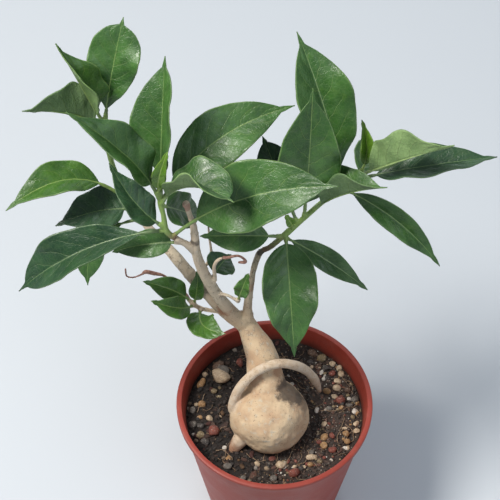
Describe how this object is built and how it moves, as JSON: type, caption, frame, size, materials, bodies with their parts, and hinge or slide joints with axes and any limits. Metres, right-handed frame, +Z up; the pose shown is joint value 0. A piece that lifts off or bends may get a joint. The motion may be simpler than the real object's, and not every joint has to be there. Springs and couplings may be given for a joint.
{
  "type": "potted baobab",
  "caption": "Small swollen-stemmed plant with an arching root, woody branches and broad glossy leaves, in a round tapered nursery pot of dark stony soil.",
  "frame": {"origin": "centre of the pot's base, on the surface it stands on", "axes": "+Z up, -Y towards the front that the picture shows, +X to the viewer's right"},
  "size_m": [0.2254, 0.1314, 0.2853],
  "materials": {
    "pot_plastic": "satin terracotta-coloured plastic",
    "potting_mix": "rough dark potting mix with stones",
    "bark": "dull tan bark with dark pits and fissures",
    "green_stem": "smooth green shoot",
    "leaf": "glossy deep green with pale midrib",
    "young_leaf": "glossy yellow-green",
    "dried_stalk": "dull reddish brown"
  },
  "bodies": {
    "root": {"dry_tendril": "dried_stalk", "leaf_behind_branch": "leaf", "leaf_behind_stub": "leaf", "leaf_broad_front": "leaf", "leaf_broad_upper": "leaf", "leaf_bud": "young_leaf", "leaf_crinkled": "leaf", "leaf_crown_dark": "leaf", "leaf_crown_left": "leaf", "leaf_crown_top": "leaf", "leaf_curled_front": "leaf", "leaf_far_left": "leaf", "leaf_far_right": "leaf", "leaf_hanging": "leaf", "leaf_hidden_upper": "leaf", "leaf_left_dark": "leaf", "leaf_left_large": "leaf", "leaf_left_low": "leaf", "leaf_left_second": "leaf", "leaf_left_tip": "leaf", "leaf_low_lower": "leaf", "leaf_low_round": "leaf", "leaf_low_upper": "leaf", "leaf_low_upright": "leaf", "leaf_right_back": "leaf", "leaf_right_broad": "leaf", "leaf_right_drooping": "leaf", "leaf_right_fold": "leaf", "leaf_right_low": "leaf", "leaf_right_strip": "leaf", "leaf_right_tall": "leaf", "leaf_under_front": "leaf", "leaf_upper_left": "leaf", "leaf_upright": "leaf", "leaf_young_bright": "young_leaf", "leaf_young_right": "young_leaf", "left_shoot": "green_stem", "pot": "pot_plastic", "right_shoot": "green_stem", "soil": "potting_mix", "swollen_stem": "bark", "upper_left_shoot": "green_stem", "withered_twig": "dried_stalk"}
  },
  "joints": []
}
